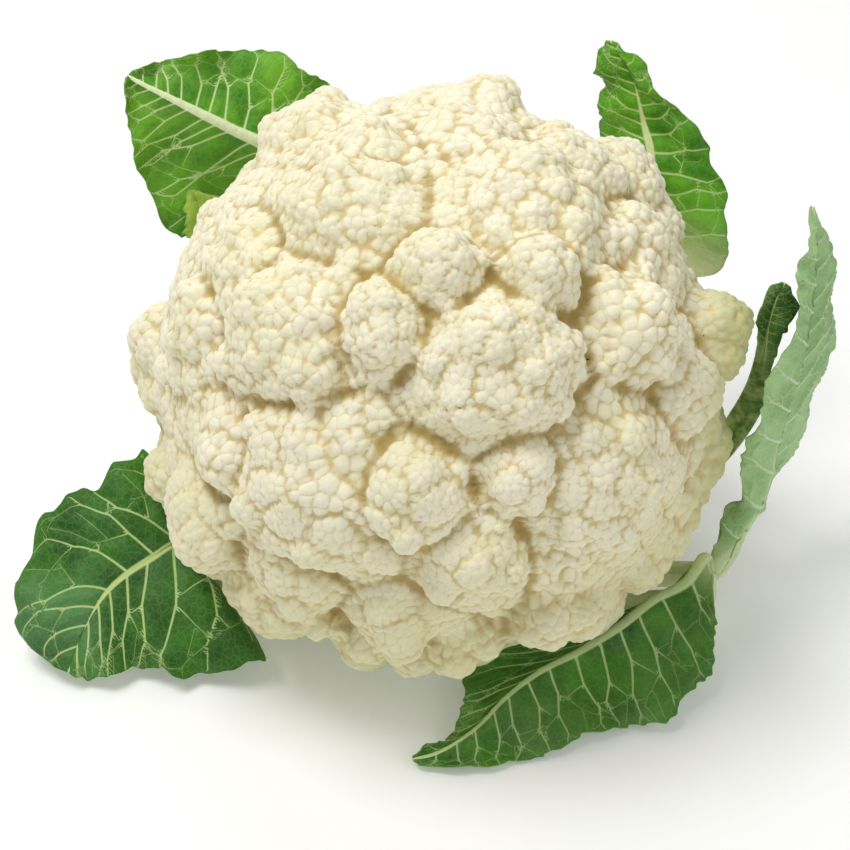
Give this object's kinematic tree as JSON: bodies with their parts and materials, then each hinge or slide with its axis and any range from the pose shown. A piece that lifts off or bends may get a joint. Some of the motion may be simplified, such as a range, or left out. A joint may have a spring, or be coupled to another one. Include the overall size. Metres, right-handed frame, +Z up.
{
  "type": "cauliflower",
  "caption": "Whole head of cauliflower on its cut stem, a round white curd of florets with green waved leaves round it.",
  "frame": {"origin": "centre of the stem's flat cut face, on the surface that the head stands on", "axes": "+Z up, +X to the right of the head, +Y to its back; -Y is the front"},
  "size_m": [0.2342, 0.1855, 0.1585],
  "materials": {
    "curd": "matt ivory florets with warm tan creases",
    "stem": "satin, pale green-white, cut face drier",
    "leaf_green": "satin green with pale veins",
    "leaf_young": "satin yellow-green",
    "leaf_pale": "matt grey-green underside"
  },
  "bodies": {
    "root": {"curd": "curd", "stem": "stem", "leaf_back_left": "leaf_green", "leaf_back_right": "leaf_green", "leaf_front": "leaf_green", "leaf_left": "leaf_green", "leaf_right_small": "leaf_green", "leaf_young": "leaf_young", "leaf_bract": "leaf_young", "leaf_right": "leaf_pale"}
  },
  "joints": []
}
